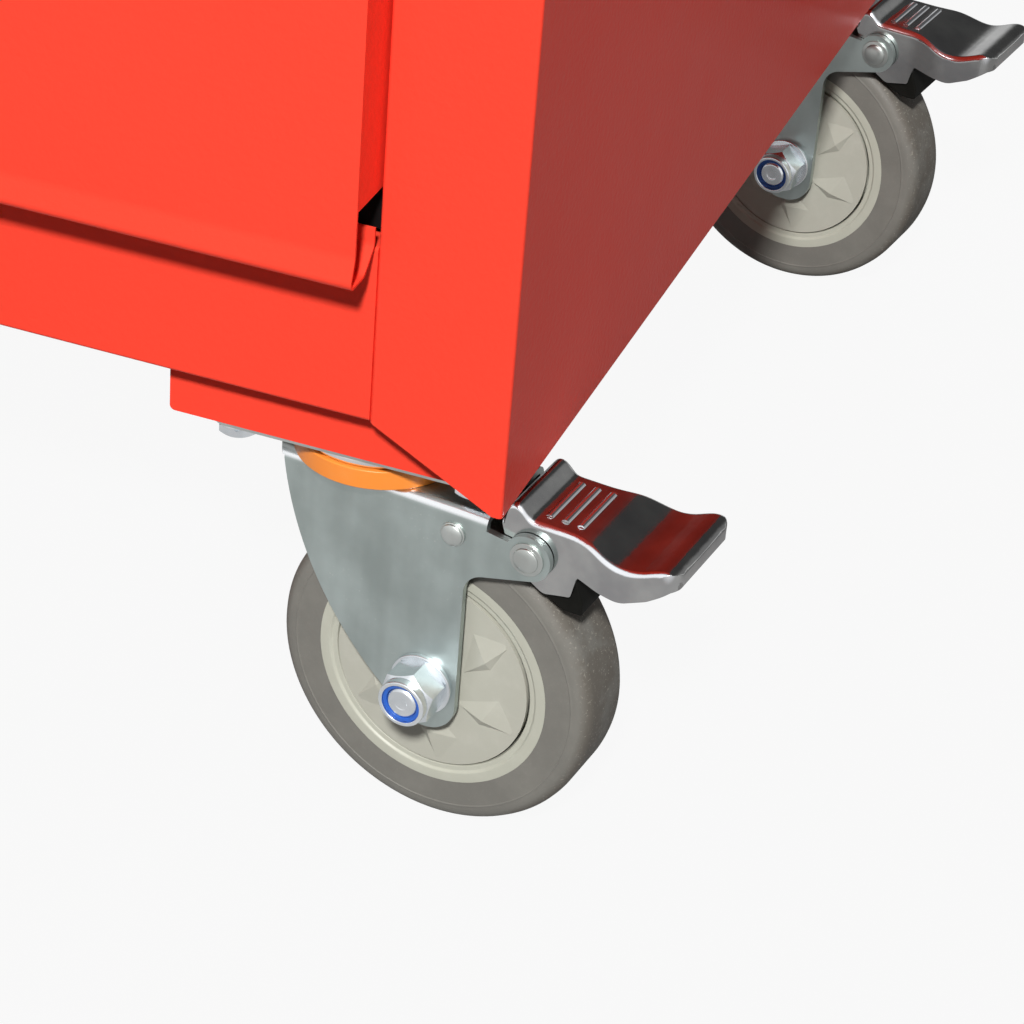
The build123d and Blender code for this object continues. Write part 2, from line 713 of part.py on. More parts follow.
def brake_pedal():
    """Pressed steel pedal, open below, whose two flanges turn on the pivot rivet between the ears."""
    heel = pivot_x + pedal_heel
    over = pedal_top_z + pedal_tip_half_width
    side = [(heel, over), (pedal_tip_x, over), (pedal_tip_x, pedal_top_z - pedal_lip_drop, 1.0),
            (pedal_tip_x - pedal_lip_slant, pedal_top_z - pedal_lip_drop - pedal_lip_fold)]
    side += [(pivot_x + x, pivot_z + z, bend) for x, z, bend in pedal_hem]
    side += [(heel, pedal_top_z + pedal_crest[0][1])]
    pedal = pedal_form(0) & across(side_face(side), 2 * pedal_tip_half_width)
    pedal = pedal - pedal_form(pedal_sheet)
    pedal = pedal - cylinder_y(pivot_x, pivot_z, pivot_radius + running_clearance, -fork_half, fork_half)
    half_length = pedal_half - pedal_flute_inset
    for flute in range(pedal_flute_count):
        x = pivot_x + pedal_flute_start + pedal_flute_pitch * flute
        pedal = pedal + cylinder_y(x, pedal_top_z - pedal_flute_depth, pedal_flute_radius,
                                   -half_length, half_length)
    return pedal


def brake_shoe():
    """Rubber block between the pedal's flanges, whose face meets the tread when the pedal is down."""
    turn = math.radians(brake_travel)
    dx = trail - pivot_x
    dz = axle_z - pivot_z
    # The wheel's centre as the raised pedal sees it: turned back by the brake's travel.
    centre_x = pivot_x + dx * math.cos(turn) - dz * math.sin(turn)
    centre_z = pivot_z + dx * math.sin(turn) + dz * math.cos(turn)
    x0 = pivot_x - 0.5
    x1 = x0 + shoe_length
    top = pivot_z - pivot_radius - shoe_root_gap
    outline = side_face([(x0, top), (x1 - shoe_slope, top), (x1, top - shoe_slope_drop), (x1, axle_z),
                         (x0, axle_z)])
    block_half = pedal_half - pedal_sheet
    shoe = across(outline, block_half)
    return shoe - cylinder_y(centre_x, centre_z, wheel_radius + shoe_clearance, -fork_half, fork_half)


def revolved(profile, x):
    """Turn a half section, given as radius and offset across, about the axle at x."""
    points = [(x + radius, offset, axle_z) for radius, offset in profile]
    face = make_face(Polyline(*points, close=True))
    return revolve(face, axis=Axis((x, 0, axle_z), (0, 1, 0)))


def wheel_core(x):
    """Moulded core: hub, web and rim in one, bored to run on the sleeve."""
    half = tread_width / 2
    bore = sleeve_radius + running_clearance
    hub_half = half - guard_sheet - guard_gap
    rim = core_radius - core_rim
    lip = rim - rim_undercut
    ledge = half - rim_ledge_drop
    profile = [(bore, -hub_half), (hub_radius, -hub_half), (hub_radius + hub_taper, -core_web / 2),
               (lip - hub_taper, -core_web / 2), (rim, -ledge), (rim + rim_ledge, -ledge),
               (rim + rim_ledge + rim_ledge_drop, -half), (core_radius, -half),
               (core_radius, half), (rim + rim_ledge + rim_ledge_drop, half),
               (rim + rim_ledge, ledge), (rim, ledge), (lip - hub_taper, core_web / 2),
               (hub_radius + hub_taper, core_web / 2), (hub_radius, hub_half), (bore, hub_half)]
    return revolved(profile, x)


def tread(x):
    """Grey tyre with rounded shoulders, bonded to the core."""
    half = tread_width / 2
    ring = revolved([(core_radius, -half), (wheel_radius, -half),
                     (wheel_radius, half), (core_radius, half)], x)
    rims = ring.edges().filter_by(GeomType.CIRCLE).sort_by(SortBy.RADIUS)[-2:]
    return fillet(rims, tread_shoulder)


def guard_ridge(x):
    """One three-cornered ridge of a cover: a long gentle side, a short steep side, and both ends run out."""
    base = tread_width / 2 - guard_recess - ridge_root
    sections = []
    for radius, turn, gentle, steep, height in ridge_sections:
        angle = math.radians(turn)
        place = Plane(origin=(x + radius * math.cos(angle), base, axle_z + radius * math.sin(angle)),
                      x_dir=(0, 0, -1), z_dir=(1, 0, 0))
        corners = Polyline((-gentle, 0), (steep, 0), (0, ridge_root + height), close=True)
        sections.append(place * make_face(corners))
    return loft(sections, ruled=True)


def thread_guards(x):
    """Two covers beside the hub, each with a ring of ridges and a collar against the cheek."""
    half = tread_width / 2
    collar = guard_collar_radius
    bore = sleeve_radius + running_clearance
    profile = [(bore, half - guard_sheet), (guard_radius, half - guard_sheet),
               (guard_radius, half - guard_recess), (collar, half - guard_recess),
               (collar, cheek_half), (bore, cheek_half)]
    cover = revolved(profile, x)
    ridge = guard_ridge(x)
    for step in range(guard_ridges):
        turn = ridge_phase + 360.0 / guard_ridges * step
        cover = cover + ridge.rotate(Axis((x, 0, axle_z), (0, 1, 0)), turn)
    return cover, mirror(cover, about=Plane.XZ)


# ---------------------------------------------------------------- write the nodes
def write_body():
    """Panels, rails, channels and everything that is fixed to them."""
    panel = side_panel()
    save("right_side_panel", panel)
    save("left_side_panel", mirrored(panel))
    save("back_panel", back_panel())
    save("floor_panel", floor_panel())
    save("top_panel", lid())
    save("bottom_rail", folded_rail(rail_bottom, rail_top))
    save("header_rail", header_rail())
    channel = caster_channel()
    save("right_caster_channel", channel)
    save("left_caster_channel", mirrored(channel))
    uprights = [slide_upright(front_y + upright_front), slide_upright(front_y + upright_rear)]
    save("slide_uprights", *uprights, *[mirrored(piece) for piece in uprights])
    rails = [slide_rail(number) for number in range(len(drawer_pitches))]
    save("right_slide_rails", *rails)
    save("left_slide_rails", *[mirrored(rail) for rail in rails])
    save("handle_tube", handle_tube())
    save("handle_brackets", *handle_brackets())
    save("lock_bezel", lock_bezel())
    save("lock_cylinder", *lock_cylinder())


def write_drawers():
    """Five drawers, numbered from the bottom."""
    for number in range(len(drawer_pitches)):
        runner = slide_runner(number)
        save(f"drawer_{number + 1}_front", drawer_front(number))
        save(f"drawer_{number + 1}_tray", drawer_tray(number))
        save(f"drawer_{number + 1}_runners", runner, mirrored(runner))


def write_casters():
    """Two braked swivel casters on the right and two rigid ones on the left."""
    for name, y, yaw in (("front_right", front_caster_y, front_caster_yaw),
                         ("rear_right", rear_caster_y, rear_caster_yaw)):
        fixed = Pos(right_caster_x, y, 0)
        turned = fixed * Rot(0, 0, yaw)
        save(f"{name}_top_plate", fixed * swivel_plate())
        save(f"{name}_fork", turned * swivel_fork())
        save(f"{name}_seal_ring", turned * seal_ring())
        save(f"{name}_axle", *[turned * piece for piece in axle_set(trail)])
        save(f"{name}_brake_rivets", *[turned * piece for piece in brake_rivets()])
        save(f"{name}_brake_pedal", turned * brake_pedal())
        save(f"{name}_brake_shoe", turned * brake_shoe())
        save(f"{name}_thread_guards", *[turned * piece for piece in thread_guards(trail)])
        save(f"{name}_wheel_core", turned * wheel_core(trail))
        save(f"{name}_tread", turned * tread(trail))
    for name, y in (("front_left", front_caster_y), ("rear_left", rear_caster_y)):
        fixed = Pos(left_caster_x, y, 0)
        save(f"{name}_fork", fixed * rigid_fork())
        save(f"{name}_axle", *[fixed * piece for piece in axle_set(0)])
        save(f"{name}_wheel_core", fixed * wheel_core(0))
        save(f"{name}_tread", fixed * tread(0))


def caster_bolt():
    """Hexagon bolt through the plate and the channel, with its nut inside the channel."""
    head = Pos(0, 0, plate_bottom - bolt_head_height / 2) * extrude(
        RegularPolygon(bolt_head_width / 2, 6, major_radius=False), amount=bolt_head_height / 2, both=True)
    head = head + Pos(0, 0, plate_bottom - bolt_flange / 2) * Cylinder(bolt_flange_radius, bolt_flange)
    nut_base = caster_height + channel_sheet
    shank_top = nut_base + bolt_nut_height + bolt_end
    shank = Pos(0, 0, (plate_bottom + shank_top) / 2) * Cylinder(bolt_radius, shank_top - plate_bottom)
    nut = Pos(0, 0, nut_base) * extrude(RegularPolygon(bolt_head_width / 2, 6, major_radius=False),
                                        amount=bolt_nut_height)
    nut = nut - Pos(0, 0, nut_base) * Cylinder(bolt_radius + running_clearance, 4 * bolt_nut_height)
    return head + shank, nut


def write_bolts():
    """Four bolts for each caster, in one group."""
    bolt, nut = caster_bolt()
    pieces = []
    for caster_x in (left_caster_x, right_caster_x):
        for caster_y in (front_caster_y, rear_caster_y):
            for x in (-plate_hole_x / 2, plate_hole_x / 2):
                for y in (-plate_hole_y / 2, plate_hole_y / 2):
                    place = Pos(caster_x + x, caster_y + y, 0)
                    pieces += [place * bolt, place * nut]
    save("caster_bolts", *pieces)


write_body()
write_drawers()
write_casters()
write_bolts()
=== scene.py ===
# %% [markdown]
# # A roller cabinet and its braked caster
# The photograph looks down on the lower right corner of a red tool cabinet: the rolled edge of a
# drawer front, the folded corner post, and a swivel caster with a foot brake. Every size comes
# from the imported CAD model, which is loaded first and never moved. Blender adds what a CAD solid
# lacks: finishes, softened edges and the small forms that catch the light.

# %% Load the frame
import json
import math

import bmesh
import bpy
from mathutils import Matrix, Vector

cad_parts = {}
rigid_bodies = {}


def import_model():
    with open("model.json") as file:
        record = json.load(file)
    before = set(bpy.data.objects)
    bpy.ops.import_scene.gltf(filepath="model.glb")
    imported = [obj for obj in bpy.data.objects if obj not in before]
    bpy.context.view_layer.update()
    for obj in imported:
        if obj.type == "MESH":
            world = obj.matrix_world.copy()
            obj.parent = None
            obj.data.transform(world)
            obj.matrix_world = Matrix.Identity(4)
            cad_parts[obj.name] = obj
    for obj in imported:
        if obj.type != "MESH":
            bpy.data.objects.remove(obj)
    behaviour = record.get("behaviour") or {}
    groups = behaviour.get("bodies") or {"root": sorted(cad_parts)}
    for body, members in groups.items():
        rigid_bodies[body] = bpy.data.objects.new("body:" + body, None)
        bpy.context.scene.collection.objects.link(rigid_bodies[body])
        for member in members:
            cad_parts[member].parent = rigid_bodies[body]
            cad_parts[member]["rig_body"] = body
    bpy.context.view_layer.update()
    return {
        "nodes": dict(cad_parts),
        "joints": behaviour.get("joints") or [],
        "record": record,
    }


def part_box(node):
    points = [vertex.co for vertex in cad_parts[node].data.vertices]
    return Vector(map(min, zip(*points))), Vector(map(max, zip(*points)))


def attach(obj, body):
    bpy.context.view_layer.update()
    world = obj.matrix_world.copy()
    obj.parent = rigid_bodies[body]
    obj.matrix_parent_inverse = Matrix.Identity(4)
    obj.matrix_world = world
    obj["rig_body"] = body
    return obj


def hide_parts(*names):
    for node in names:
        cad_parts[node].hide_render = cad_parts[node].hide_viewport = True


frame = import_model()
joints = {joint["name"]: joint for joint in frame["joints"]}

# %% [markdown]
# ## The camera
# The photograph's viewpoint was worked out from the edges of the cabinet: about 1.1 metres from
# the caster, 18 degrees round to the right and 33 degrees up, rolled by 5 degrees. Only a corner
# of the cabinet fills the picture, so the lens is long. The two directions below are the picture's
# right and the way the camera looks, in the frame of the model. The picture's up follows from
# them.

# %% Camera
VIEWPOINT = (0.5904, -1.1205, 0.7375)
SENSOR_MM = 36.0
LENS_MM = 113.37

view_right = Vector((0.93388, 0.35054, 0.07058)).normalized()
view_in = Vector((-0.25892, 0.79906, -0.54265)).normalized()
view_up = view_right.cross(view_in)
camera_data = bpy.data.cameras.new("view")
camera_data.sensor_width = SENSOR_MM
camera_data.lens = LENS_MM
camera = bpy.data.objects.new("view", camera_data)
bpy.context.scene.collection.objects.link(camera)
view_turn = Matrix((view_right, view_up, -view_in)).transposed()
camera.matrix_world = Matrix.Translation(VIEWPOINT) @ view_turn.to_4x4()
bpy.context.scene.camera = camera
print("camera", [round(v, 3) for v in camera.location], "lens", LENS_MM, "mm")

# %% [markdown]
# ## Sums with sockets
# A finish is a small machine of nodes: a noise here, a soft step there, and sums between them.
# Writing each sum as a node by hand hides the idea, so one class wraps a socket and turns Python's
# operators into Math nodes. Colours never pass through it, because a Math node turns them grey.

# %% Value: a socket that can be added and multiplied
class Value:
    """What a node puts out. Numbers among these can be added, subtracted and multiplied."""

    def __init__(self, nodes, socket):
        self.nodes = nodes
        self.socket = socket

    def math(self, operation, other, clamp=False):
        return self.nodes.node("ShaderNodeMath", {"operation": operation, "use_clamp": clamp},
                               {0: self, 1: other})

    def __add__(self, other):
        return self.math("ADD", other)

    def __mul__(self, other):
        return self.math("MULTIPLY", other)

    def __sub__(self, other):
        return self.math("SUBTRACT", other)

    def __rsub__(self, other):
        return (self * -1.0) + other

    __radd__ = __add__
    __rmul__ = __mul__

    def over(self, low, high):
        """0 below low and 1 above high, with a soft step between."""
        return self.nodes.node("ShaderNodeMapRange", {"interpolation_type": "SMOOTHSTEP"},
                               {"Value": self, "From Min": low, "From Max": high})

    def within(self):
        """Held between 0 and 1."""
        return self.math("ADD", 0.0, clamp=True)

# %% [markdown]
# ## A tree of nodes
# Materials and the sky are both trees of nodes, so one class serves both. Its method node makes
# any node: first the type, then the settings, then the numbers or links of the sockets. The few
# nodes that are needed often get a short method of their own.

# %% Nodes: a tree that nodes are added to
class Nodes:
    """A node tree. Its methods add nodes and return what they put out."""

    def __init__(self, tree):
        self.tree = tree

    def feed(self, socket, value):
        """Link a Value to a socket, or write a number or a colour into it."""
        if isinstance(value, Value):
            self.tree.links.new(value.socket, socket)
        elif socket.type == "RGBA":
            socket.default_value = (*value, 1.0)
        else:
            socket.default_value = value

    def node(self, kind, settings=None, sockets=None, output=0):
        made = self.tree.nodes.new(kind)
        for name, value in (settings or {}).items():
            setattr(made, name, value)
        for name, value in (sockets or {}).items():
            self.feed(made.inputs[name], value)
        return Value(self, made.outputs[output])

    def coordinate(self, vector, axis):
        """The X, Y or Z of a vector."""
        return self.node("ShaderNodeSeparateXYZ", {}, {"Vector": vector}, output=axis)

    def camera_ray(self):
        """1 where the camera looks straight at it, and 0 for light and mirror images."""
        return self.node("ShaderNodeLightPath", output="Is Camera Ray")

    def mirror_ray(self):
        """1 where it is seen in metal or through glass, and 0 elsewhere."""
        glossy = self.node("ShaderNodeLightPath", output="Is Glossy Ray")
        clear = self.node("ShaderNodeLightPath", output="Is Transmission Ray")
        return (glossy + clear).within()

# %% [markdown]
# ## Finishes
# A finish is one material with a Principled shader. What is the same everywhere is set on the
# shader's own socket; what varies is linked. Patterns read Object coordinates, and as every piece
# keeps its object at the origin, one unit of pattern is one metre of the real cabinet.

# %% Finish: a material made of nodes
class Finish(Nodes):
    """A material: a Principled shader, and patterns that vary its colour, gloss and relief."""

    def __init__(self, name, surface):
        self.material = bpy.data.materials.new(name)
        self.material.use_nodes = True
        super().__init__(self.material.node_tree)
        self.shader = self.tree.nodes["Principled BSDF"]
        for socket, value in surface.items():
            self.set(socket, value)

    def set(self, socket, value):
        self.feed(self.shader.inputs[socket], value)

    def place(self, stretch=(1.0, 1.0, 1.0)):
        """The point on the object, in metres, with its three numbers stretched."""
        point = self.node("ShaderNodeTexCoord", output="Object")
        return self.node("ShaderNodeMapping", {}, {"Vector": point, "Scale": stretch})

    def noise(self, size, detail=2.0, rough=0.5, stretch=(1.0, 1.0, 1.0)):
        """Cloudy pattern from 0 to 1, with lumps about size metres across: a slice of 4D noise."""
        return self.node("ShaderNodeTexNoise", {"noise_dimensions": "4D"},
                         {"Vector": self.place(stretch), "Scale": 1.0 / size,
                          "Detail": detail, "Roughness": rough})

    def blend(self, share, first, second):
        """Colour that goes from first to second as share goes from 0 to 1."""
        return self.node("ShaderNodeMix", {"data_type": "RGBA"},
                         {0: share, 6: first, 7: second}, output=2)

    def bump(self, height, distance, strength):
        """Relief that only the light sees, distance metres deep."""
        return self.node("ShaderNodeBump", {},
                         {"Height": height, "Distance": distance, "Strength": strength})

    def attribute(self, name):
        """A number that the piece's own vertices carry."""
        return self.node("ShaderNodeAttribute", {"attribute_name": name}, output="Fac")

# %% [markdown]
# ## Red powder coat
# Powder paint is sprayed dry and baked, so it keeps a faint orange peel: dimples two or three
# millimetres across, which break a highlight into a shimmering band, as along the drawer's lower
# edge in the photograph. Two noises make the peel, and a slow one lets the colour drift a little.

# %% Red powder coat
def red_powder_coat():
    coat = Finish("red_powder_coat", {"IOR": 1.45, "Specular IOR Level": 0.09})
    drift = coat.noise(0.16, 1.0)
    coat.set("Base Color", coat.blend(drift, (0.93, 0.058, 0.031), (0.96, 0.068, 0.038)))
    peel = coat.noise(0.0026, 2.0) + coat.noise(0.0009, 1.0) * 0.3
    coat.set("Roughness", 0.26 + coat.noise(0.03, 2.0) * 0.08)
    coat.set("Normal", coat.bump(peel, 0.00026, 0.6))
    return coat.material

RED = red_powder_coat()
print("finish", RED.name)

# %% [markdown]
# ## Zinc plate
# The fork, the plates and the rivets are electroplated with zinc: a grey-green metal that is never
# quite even. Wiping and rinsing leave upright streaks, and handling leaves specks. The tight bends
# are smoother from the press tool, and they also get a painted highlight: their colour turns near
# white. The streaks are a noise squeezed sideways. The bends are read from the value bend, which
# the fork's own vertices will carry.

# %% Zinc plate
METAL = {"Metallic": 1.0, "IOR": 1.5}

def polish_and_painted_highlight(metal):
    """1 on the tight bends, which get the polish and a painted highlight, and 0 on a piece without
    bends.
    """
    return metal.attribute("bend").over(0.35, 0.85)

def zinc_plate(name, bright, dark, rough):
    zinc = Finish(name, METAL)
    streak = zinc.noise(0.05, 2.0, 0.5, stretch=(5.0, 5.0, 0.8))
    cloud = zinc.noise(0.035, 4.0, 0.55)
    shade = (streak * 0.35 + cloud * 0.75).over(0.36, 0.78)
    speck = zinc.noise(0.0012, 2.0, 0.6).over(0.65, 0.71) * cloud.over(0.45, 0.7)
    bend_polish_and_highlight = polish_and_painted_highlight(zinc)
    colour = zinc.blend(shade, dark, bright)
    colour = zinc.blend(speck * 0.7, colour, (0.78, 0.79, 0.76))
    # Painted highlight: the bends turn near white in the base colour.
    zinc.set("Base Color", zinc.blend(bend_polish_and_highlight, colour, (0.93, 0.95, 0.97)))
    zinc.set("Roughness", rough + shade * 0.08 - speck * 0.1 - bend_polish_and_highlight * (rough * 0.55))
    grain = zinc.noise(0.0007, 2.0, 0.6) + streak * 0.5
    zinc.set("Normal", zinc.bump(grain, 0.00004, 0.35))
    return zinc.material

FORK_ZINC = zinc_plate("fork_zinc", (0.50, 0.565, 0.55), (0.36, 0.41, 0.395), 0.40)
PLATE_ZINC = zinc_plate("plate_zinc", (0.62, 0.65, 0.63), (0.44, 0.46, 0.44), 0.3)
SLIDE_ZINC = zinc_plate("slide_zinc", (0.60, 0.62, 0.63), (0.42, 0.44, 0.45), 0.34)
print("zinc finishes", FORK_ZINC.name, PLATE_ZINC.name, SLIDE_ZINC.name)

# %% [markdown]
# ## Bright plating
# The pedal, the nuts and the push handle are bright. Real bright plate on a shop caster is not a
# perfect mirror: polishing lines run across it and the layer is thin and dark in places.

# %% Bright plating
def bright_plate(name, light, shadow, rough, brushed=(1.0, 1.0, 1.0)):
    plate = Finish(name, METAL)
    cloud = plate.noise(0.02, 3.0, 0.6)
    colour = plate.blend(cloud.over(0.3, 0.7), shadow, light)
    # Painted highlight: the pedal's bends turn near white in the base colour.
    plate.set("Base Color", plate.blend(polish_and_painted_highlight(plate), colour, (0.92, 0.94, 0.98)))
    lines = plate.noise(0.004, 3.0, 0.7, stretch=brushed)
    plate.set("Roughness", rough + cloud * 0.06 + lines * 0.05)
    plate.set("Normal", plate.bump(lines + plate.noise(0.006, 2.0) * 0.6, 0.00005, 0.3))
    return plate.material

PEDAL_PLATE = bright_plate("pedal_plate", (0.49, 0.495, 0.485), (0.365, 0.365, 0.37), 0.09,
                           brushed=(0.3, 6.0, 3.0))
NUT_PLATE = bright_plate("nut_plate", (0.88, 0.92, 0.95), (0.66, 0.70, 0.73), 0.20)
TUBE_PLATE = bright_plate("tube_plate", (0.74, 0.74, 0.75), (0.62, 0.62, 0.63), 0.07,
                          brushed=(5.0, 0.3, 5.0))
print("bright finishes", PEDAL_PLATE.name, NUT_PLATE.name, TUBE_PLATE.name)

# %% [markdown]
# ## Moulded plastics
# Plastic from a mould has a fine even grain and, once it has stood on a floor, a little dust. The
# same recipe serves the black paint inside the cabinet and the rubber of the brake shoe, which the
# photograph shows almost without shine. Both are made near black and shineless, partly as painted
# shade: the paint for the dark inside seen past the drawer front, the rubber for the pedal's
# shadow on the tyre.

# %% Moulded plastics
def moulded(name, colour, dusty, rough, shine=0.5):
    plastic = Finish(name, {"IOR": 1.47, "Specular IOR Level": shine})
    dust = plastic.noise(0.012, 5.0, 0.65).over(0.45, 0.8)
    plastic.set("Base Color", plastic.blend(dust * 0.6, colour, dusty))
    plastic.set("Roughness", rough + dust * 0.14)
    grain = plastic.noise(0.0004, 2.0) + plastic.noise(0.004) * 0.8
    plastic.set("Normal", plastic.bump(grain, 0.00005, 0.4))
    return plastic.material

MATT = 0.08
CORE_GREY = moulded("core_grey", (0.49, 0.49, 0.41), (0.55, 0.55, 0.47), 0.42)
GUARD_GREY = moulded("guard_grey", (0.47, 0.465, 0.395), (0.55, 0.54, 0.47), 0.40)
SEAL_ORANGE = moulded("seal_orange", (0.95, 0.28, 0.036), (0.88, 0.31, 0.07), 0.33)
NYLON_BLUE = moulded("nylon_blue", (0.02, 0.11, 0.50), (0.05, 0.18, 0.55), 0.3)
BLACK_PLASTIC = moulded("black_plastic", (0.014, 0.014, 0.015), (0.05, 0.05, 0.05), 0.42)
# Black paint, made near black and shineless so that it is also painted shade for the dark inside
# of the cabinet.
BLACK_PAINT_AND_SHADE = moulded("black_paint", (0.007, 0.006, 0.006), (0.012, 0.011, 0.011), 0.5, MATT)
# Black rubber, made near black and shineless so that it is also painted shade for the pedal's
# shadow.
BLACK_RUBBER_AND_SHADE = moulded("black_rubber", (0.006, 0.006, 0.005), (0.016, 0.015, 0.013), 0.62, MATT)
print("plastics", CORE_GREY.name, GUARD_GREY.name, SEAL_ORANGE.name, NYLON_BLUE.name,
      BLACK_PLASTIC.name, BLACK_PAINT_AND_SHADE.name, BLACK_RUBBER_AND_SHADE.name)

# %% [markdown]
# ## Tyre rubber
# The tyre is a warm grey rubber. Its flanks stay clean, and its running face is scuffed, darker
# and peppered with pale grit. The vertices of the tyre carry the value run, 1 on the running face
# and 0 on the flanks, so one finish can do both, and the border follows the shape of the tyre.

# %% Tyre rubber
def tyre_rubber():
    tyre = Finish("tyre_rubber", {"IOR": 1.5})
    run = tyre.attribute("run")
    cloud = tyre.noise(0.018, 5.0, 0.65)
    scuff = (cloud.over(0.38, 0.56) * run).within()
    grit = tyre.noise(0.0012, 3.0, 0.7).over(0.57, 0.67) * (run * 0.85 + 0.10)
    flank = tyre.blend(cloud.over(0.3, 0.8), (0.172, 0.165, 0.146), (0.212, 0.204, 0.180))
    worn = tyre.blend(scuff * 0.65, flank, (0.098, 0.082, 0.064))
    tyre.set("Base Color", tyre.blend(grit * 0.55, worn, (0.46, 0.43, 0.37)))
    tyre.set("Roughness", 0.38 + run * 0.26 + cloud * 0.1)
    rubbed = tyre.noise(0.0016, 3.0, 0.7) * (run * 0.9 + 0.1) + tyre.noise(0.0005, 1.0) * 0.3
    tyre.set("Normal", tyre.bump(rubbed, 0.00022, 0.45))
    return tyre.material

TYRE = tyre_rubber()
print("finish", TYRE.name)

# %% [markdown]
# ## Making a piece
# A new piece starts as a bmesh in millimetres about its own axle, which keeps the numbers
# readable, and is scaled and set in place by one matrix. Its object then stays at the origin, like
# the CAD nodes. Edges that meet sharply are marked, so that round faces look round and folds stay
# crisp.

# %% Turn a bmesh into a piece
MM = Matrix.Scale(0.001, 4)
SAME_POINT = 0.0005  # millimetres

def show(name, shape, finish, body, node=None):
    """Make a bmesh in metres an object that moves with a CAD body and may stand for a node."""
    mesh = bpy.data.meshes.new(name)
    shape.to_mesh(mesh)
    shape.free()
    mesh.materials.append(finish)
    piece = bpy.data.objects.new(name, mesh)
    bpy.context.scene.collection.objects.link(piece)
    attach(piece, body)
    if node:
        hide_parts(node)
    return piece

def smooth(piece, crisp):
    """Smooth shading, apart from edges that bend by more than crisp degrees."""
    piece.data.shade_smooth()
    piece.data.set_sharp_from_angle(angle=math.radians(crisp))

def make_piece(name, shape, finish, body, node, place, crisp=32.0):
    """Clean a shape in millimetres, set it in place and show it."""
    bmesh.ops.remove_doubles(shape, verts=shape.verts, dist=SAME_POINT)
    bmesh.ops.recalc_face_normals(shape, faces=shape.faces)
    bmesh.ops.transform(shape, matrix=place @ MM, verts=shape.verts)
    piece = show(name, shape, finish, body, node)
    smooth(piece, crisp)
    return piece

# %% [markdown]
# ## Softened sheet edges
# A folded sheet has no knife edges: shears and paint leave a small round that draws a thin
# highlight. The CAD nodes are right in size, so a copy of each mesh is merged, its flat faces are
# joined, and the sharp edges get a bevel of a few tenths of a millimetre. The copy then stands for
# its node. The seam between bottom rail and corner post is welded tight and gets no bevel.

# %% Copies of CAD nodes, and straight cuts
SAME_CORNER = 0.000004  # metres

def merged_copy(node, flat, unit=1.0):
    """A bmesh of a CAD node whose triangles are joined where they bend less than flat degrees.

    A unit of 1000 gives it in millimetres, and 1 in metres.
    """
    shape = bmesh.new()
    shape.from_mesh(frame["nodes"][node].data)
    bmesh.ops.transform(shape, matrix=Matrix.Scale(unit, 4), verts=shape.verts)
    bmesh.ops.remove_doubles(shape, verts=shape.verts, dist=SAME_CORNER * unit)
    bmesh.ops.dissolve_limit(shape, angle_limit=math.radians(flat), use_dissolve_boundaries=False,
                             verts=shape.verts, edges=shape.edges, delimit=set())
    return shape

def stand_in(node, shape, finish):
    """Show a shape in metres in the place of the CAD node that it was copied from."""
    return show(node + "_finished", shape, finish, frame["nodes"][node]["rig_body"], node)

def cut_off(shape, point, outward):
    """Slice a shape with a plane, drop what lies outward of it, and close the cut."""
    cut = bmesh.ops.bisect_plane(shape, geom=shape.verts[:] + shape.edges[:] + shape.faces[:],
                                 dist=0.0001, plane_co=point, plane_no=outward, clear_outer=True)
    rim = [item for item in cut["geom_cut"] if isinstance(item, bmesh.types.BMEdge)]
    bmesh.ops.edgeloop_fill(shape, edges=rim)

# %% Soften the edges of a copy
seam_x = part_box("bottom_rail")[1][0] * 1000.0
seam_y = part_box("bottom_rail")[0][1] * 1000.0
SEAM_WIDTH = 0.8
SEAM_DEPTH = 4.0
print("seam at", round(seam_x, 2), "mm each side, from", round(seam_y, 2), "mm back")

def in_seam(edge):
    """The welded seam between rail and corner post: it stays tight, so it hardly shows."""
    return all(abs(abs(v.co.x) - seam_x) < SEAM_WIDTH and v.co.y < seam_y + SEAM_DEPTH
               for v in edge.verts)

def is_sharp(edge, angle=34.0):
    return len(edge.link_faces) == 2 and edge.calc_face_angle() > math.radians(angle)

def soften(node, finish, width=0.35, segments=2, trim=0.0):
    """A copy of a CAD node with small rounds on its sharp edges, and trim millimetres shorter."""
    shape = merged_copy(node, flat=0.6, unit=1000.0)
    if trim:
        foot = min(vertex.co.z for vertex in shape.verts) + trim
        cut_off(shape, (0.0, 0.0, foot), (0.0, 0.0, -1.0))
    sharp = [edge for edge in shape.edges if is_sharp(edge) and not in_seam(edge)]
    if width and sharp:
        bmesh.ops.bevel(shape, geom=sharp, offset=width, offset_type="OFFSET", segments=segments,
                        profile=0.5, affect="EDGES", clamp_overlap=True, material=-1)
    bmesh.ops.transform(shape, matrix=MM, verts=shape.verts)
    piece = stand_in(node, shape, finish)
    smooth(piece, 40.0)
    even = piece.modifiers.new("even_shading", "WEIGHTED_NORMAL")
    even.keep_sharp = True
    even.weight = 100
    return piece

# %% Red panels and drawer fronts
RED_NODES = ["right_side_panel", "left_side_panel", "back_panel", "floor_panel", "top_panel",
             "bottom_rail", "header_rail", "right_caster_channel", "left_caster_channel"]
RED_NODES += [f"drawer_{number}_front" for number in range(1, 6)]
panels = [soften(node, RED) for node in RED_NODES]
print("softened red pieces", len(panels), "faces", sum(len(p.data.polygons) for p in panels))

# %% [markdown]
# ## Turned pieces
# Tyre, hub, nut, washer and rivet are all turned shapes: a profile swept round an axle. Each
# profile is a short list of corners: radius and distance along the axle in millimetres, and the
# round that the corner gets. A vertex bevel rounds the corners of the wire, and a spin turns the
# wire into a surface. This gives clean, even faces, which a scaled cylinder with added edges would
# not.

